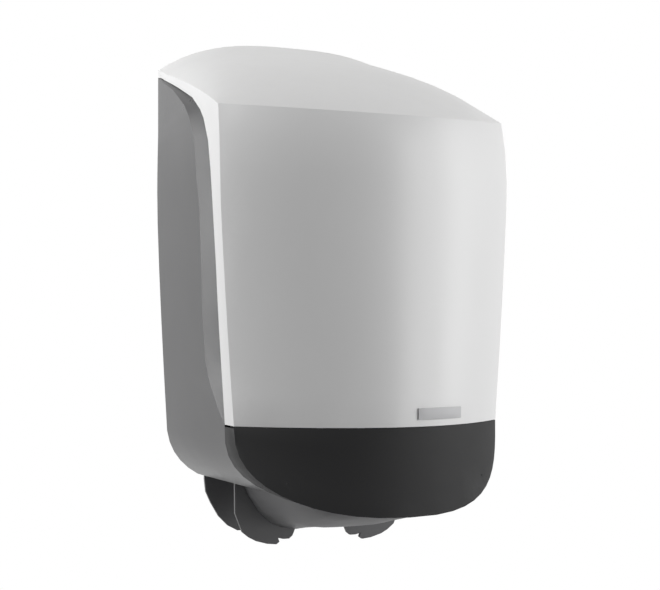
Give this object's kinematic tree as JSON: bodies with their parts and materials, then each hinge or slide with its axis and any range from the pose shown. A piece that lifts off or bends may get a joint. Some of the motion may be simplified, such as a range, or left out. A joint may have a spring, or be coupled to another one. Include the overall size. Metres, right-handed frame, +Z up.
{
  "type": "centrefeed roll dispenser",
  "caption": "Wall-hung centrefeed roll dispenser: white crowned cover on a lower hinge, black skirt, grey housing with finger scoops, nozzle and tear ears, push latch and key.",
  "frame": {"origin": "middle of the wall face, which lies in the plane y = 0", "axes": "+Y points into the wall, -Y to the front, +X to the right seen from the front, +Z up"},
  "size_m": [0.2446, 0.251, 0.4362],
  "materials": {
    "white_cover": "satin white",
    "dark_housing": "fine grained dark grey",
    "black_skirt": "fine grained black",
    "grey_chin": "satin grey",
    "light_insert": "satin light grey",
    "black_rubber": "matte",
    "zinc_steel": "zinc plated",
    "nickel_lock": "nickel plated"
  },
  "bodies": {
    "housing": {"back_plate": "dark_housing", "side_panel_left": "dark_housing", "side_panel_right": "dark_housing", "tear_ear_left": "dark_housing", "tear_ear_right": "dark_housing", "nozzle_ring": "dark_housing", "lock_bracket": "dark_housing", "bar_guide": "dark_housing", "outlet_chin": "grey_chin", "roll_tray": "grey_chin", "nozzle_cup": "light_insert", "nozzle_membrane": "black_rubber", "tray_screw_1": "zinc_steel", "tray_screw_2": "zinc_steel", "tray_screw_3": "zinc_steel", "tray_screw_4": "zinc_steel", "bracket_screw_1": "zinc_steel", "bracket_screw_2": "zinc_steel", "guide_screw": "zinc_steel", "chin_screw_left": "zinc_steel", "chin_screw_right": "zinc_steel", "panel_screw_left_1": "zinc_steel", "panel_screw_left_2": "zinc_steel", "panel_screw_right_1": "zinc_steel", "panel_screw_right_2": "zinc_steel", "hinge_pin_left": "zinc_steel", "hinge_pin_right": "zinc_steel", "lock_spring": "zinc_steel"},
    "cover": {"cover_shell": "white_cover", "cover_skirt": "black_skirt", "label_plate": "light_insert", "hinge_bush_left": "light_insert", "hinge_bush_right": "light_insert", "cover_catch": "zinc_steel", "catch_screw": "zinc_steel"},
    "latch": {"lock_bar": "zinc_steel", "release_button": "dark_housing"},
    "key": {"key_barrel": "nickel_lock", "key_cam": "zinc_steel"}
  },
  "joints": [
    {"name": "cover_hinge", "type": "hinge", "parent": "housing", "child": "cover", "pos_m": [0, -0.03, -0.162], "axis": [1, 0, 0], "range_deg": [0, 90]},
    {"name": "button_slide", "type": "slide", "parent": "housing", "child": "latch", "axis": [0, 0, 1], "range_m": [0, 0.005], "stiffness_N_per_m": 400, "springref_m": -0.005, "deforming": ["lock_spring"]},
    {"name": "key_turn", "type": "hinge", "parent": "housing", "child": "key", "pos_m": [0.0955, -0.044, -0.155], "axis": [0, 0, 1], "range_deg": [0, 90]}
  ]
}
